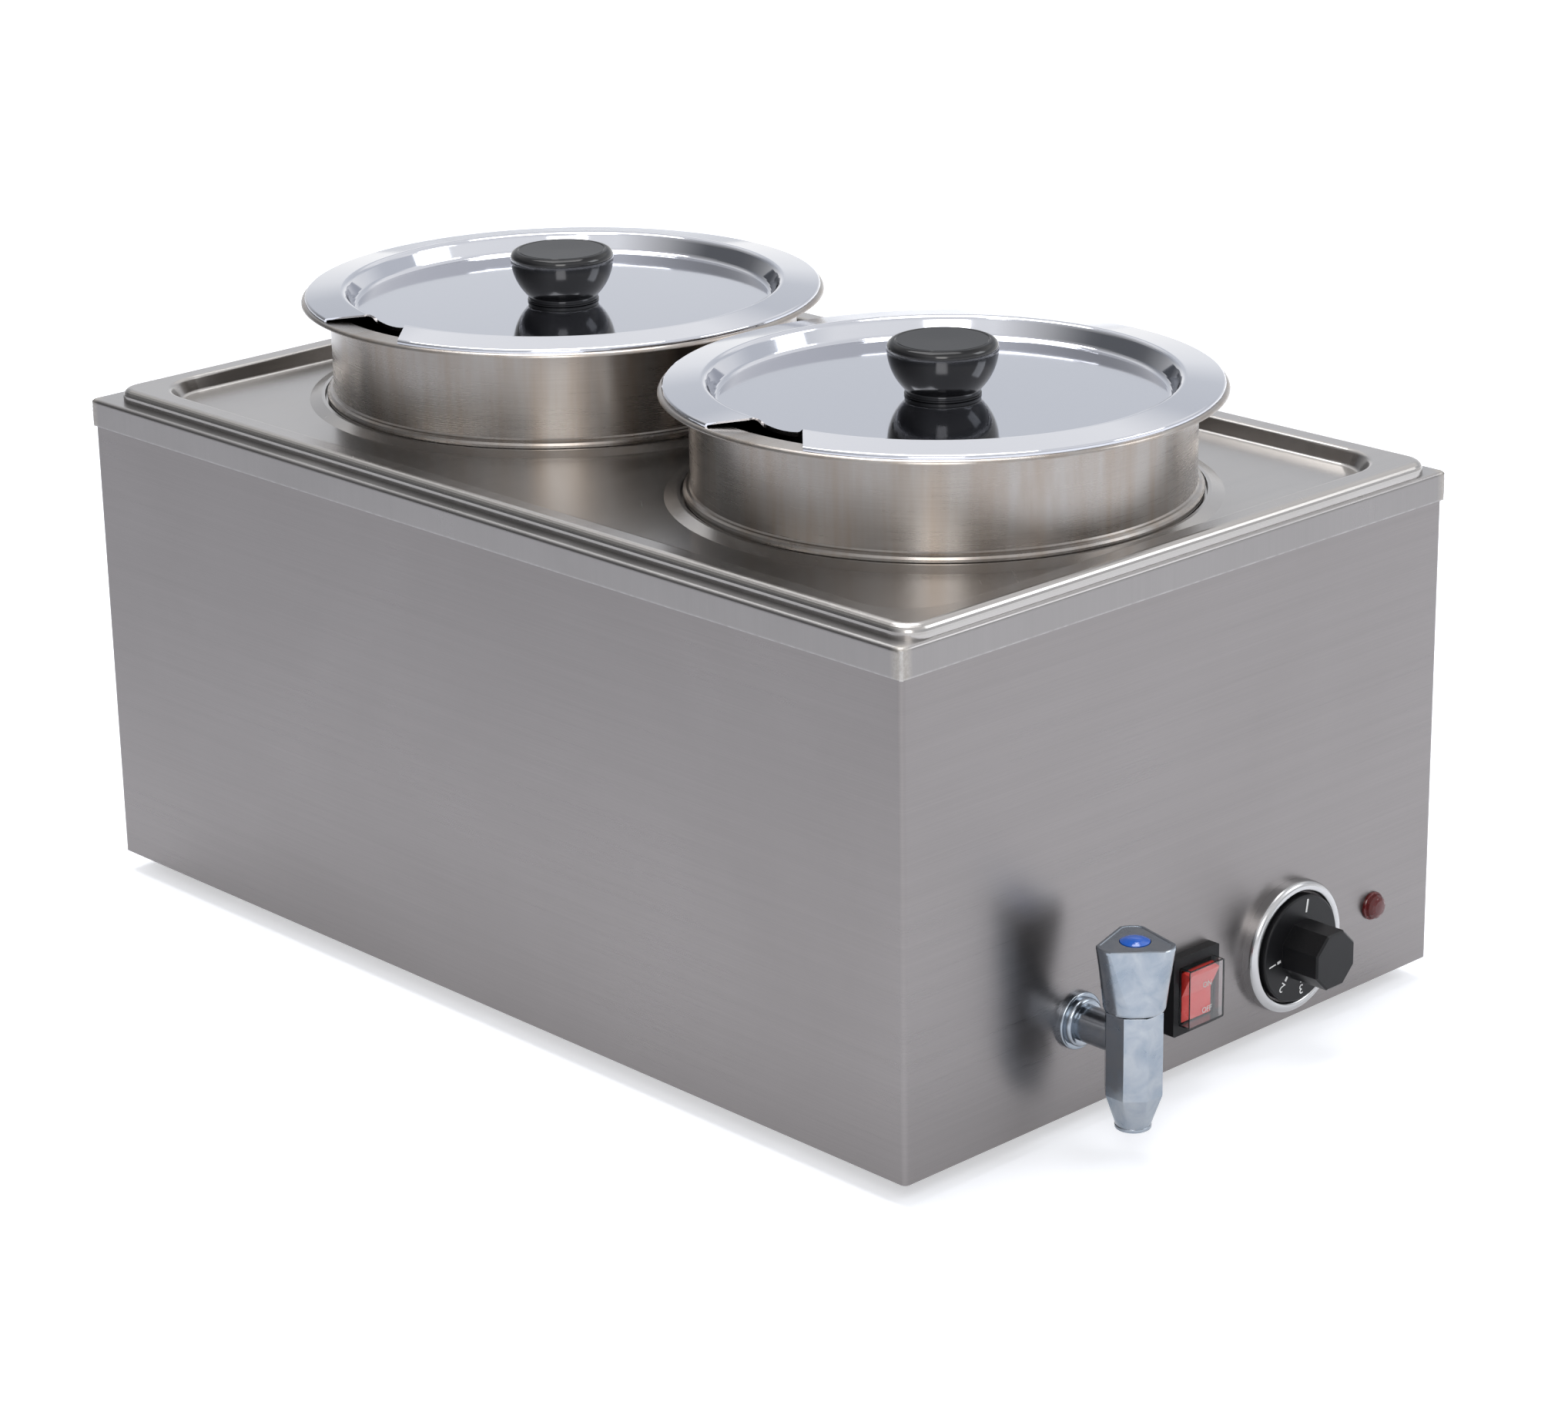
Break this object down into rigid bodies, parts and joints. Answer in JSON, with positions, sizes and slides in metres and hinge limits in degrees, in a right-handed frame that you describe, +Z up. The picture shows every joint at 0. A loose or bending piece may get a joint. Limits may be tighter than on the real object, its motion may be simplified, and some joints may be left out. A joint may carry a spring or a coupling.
{
  "type": "bain marie",
  "caption": "Countertop wet-well bain marie: heated steel water well with lift-out round pots, notched lids, drain tap, thermostat dial and covered switch.",
  "frame": {"origin": "on the ground under the middle of the whole outline", "axes": "+Z up, the front with the tap and the dial faces -Y, +X to the right seen from the front"},
  "size_m": [0.3384, 0.6066, 0.3059],
  "materials": {
    "casing_steel": "satin stainless sheet with a level brushed grain",
    "deck_steel": "brushed stainless, grain across the skirt",
    "plate_steel": "bright pressed stainless with fine scratches",
    "pot_steel": "spun stainless, brushed round the wall",
    "lid_steel": "mirror-polished stainless",
    "base_steel": "plain zinc-coated sheet",
    "fastener_steel": "bright zinc",
    "heater_metal": "dark heat-coloured steel tube",
    "clamp_aluminium": "plain rolled sheet",
    "tap_chrome": "bright chrome plate",
    "ring_chrome": "bright chrome plate",
    "brass": "turned brass",
    "copper": "drawn copper tube",
    "knob_black": "glossy moulded phenolic",
    "dial_black": "moulded black with white marks",
    "switch_black": "fine-grained moulded black",
    "gland_black": "moulded nylon",
    "rocker_red": "translucent red moulding",
    "cover_clear": "clear flexible moulding",
    "lamp_red": "clear red faceted lens",
    "lamp_white": "white moulding",
    "index_blue": "domed blue moulding",
    "ceramic_white": "cream moulding",
    "black_rubber": "black rubber",
    "blanket_fibre": "needled mineral fibre"
  },
  "bodies": {
    "cabinet": {"casing": "casing_steel", "base_plate": "base_steel", "base_screws": "fastener_steel", "feet": "black_rubber", "foot_screws": "fastener_steel", "foot_nuts": "fastener_steel", "deck_and_well": "deck_steel", "tap_body": "tap_chrome", "tap_headwork": "brass", "tap_escutcheon": "tap_chrome", "tap_gasket": "black_rubber", "tap_locknut": "brass", "drain_outlet": "brass", "drain_seal": "black_rubber", "drain_nut": "brass", "drain_pipe": "copper", "drain_sleeve": "brass", "heater_element": "heater_metal", "clamp_plate": "clamp_aluminium", "well_studs": "fastener_steel", "stud_nuts": "fastener_steel", "heat_blanket": "blanket_fibre", "overheat_cutout": "ceramic_white", "thermostat_body": "ceramic_white", "thermostat_screws": "fastener_steel", "thermostat_bulb": "copper", "dial_ring": "ring_chrome", "switch_body": "switch_black", "switch_cover": "cover_clear", "lamp_lens": "lamp_red", "lamp_body": "lamp_white", "lamp_nut": "lamp_white", "cable_gland": "gland_black", "gland_locknut": "gland_black", "terminal_block": "ceramic_white", "terminal_screws": "fastener_steel", "earth_stud": "fastener_steel", "earth_nut": "brass"},
    "plate": {"adapter_plate": "plate_steel"},
    "front_pot": {"pot_front": "pot_steel"},
    "rear_pot": {"pot_rear": "pot_steel"},
    "front_lid": {"lid_front": "lid_steel", "knob_front": "knob_black", "lid_screw_front": "fastener_steel"},
    "rear_lid": {"lid_rear": "lid_steel", "knob_rear": "knob_black", "lid_screw_rear": "fastener_steel"},
    "tap_grip": {"tap_handle": "tap_chrome", "tap_handle_screw": "fastener_steel", "tap_button": "index_blue", "tap_plug": "brass"},
    "dial_knob": {"dial": "dial_black", "dial_shaft": "brass"},
    "rocker": {"switch_rocker": "rocker_red"}
  },
  "joints": [
    {"name": "plate_lift", "type": "slide", "parent": "cabinet", "child": "plate", "axis": [0, 0, 1], "range_m": [0, 0.16]},
    {"name": "front_pot_lift", "type": "slide", "parent": "plate", "child": "front_pot", "axis": [0, 0, 1], "range_m": [0, 0.2]},
    {"name": "rear_pot_lift", "type": "slide", "parent": "plate", "child": "rear_pot", "axis": [0, 0, 1], "range_m": [0, 0.2]},
    {"name": "front_lid_lift", "type": "slide", "parent": "front_pot", "child": "front_lid", "axis": [0, 0, 1], "range_m": [0, 0.1]},
    {"name": "rear_lid_lift", "type": "slide", "parent": "rear_pot", "child": "rear_lid", "axis": [0, 0, 1], "range_m": [0, 0.1]},
    {"name": "tap_turn", "type": "hinge", "parent": "cabinet", "child": "tap_grip", "pos_m": [-0.066, -0.28618, 0.0518], "axis": [0, 0, 1], "range_deg": [0, 90]},
    {"name": "dial_turn", "type": "hinge", "parent": "cabinet", "child": "dial_knob", "pos_m": [0.069, -0.25467, 0.0455], "axis": [0, 1, 0], "range_deg": [0, 300]},
    {"name": "rocker_tilt", "type": "hinge", "parent": "cabinet", "child": "rocker", "pos_m": [0.0034, -0.25767, 0.045], "axis": [-1, 0, 0], "range_deg": [0, 24]}
  ]
}
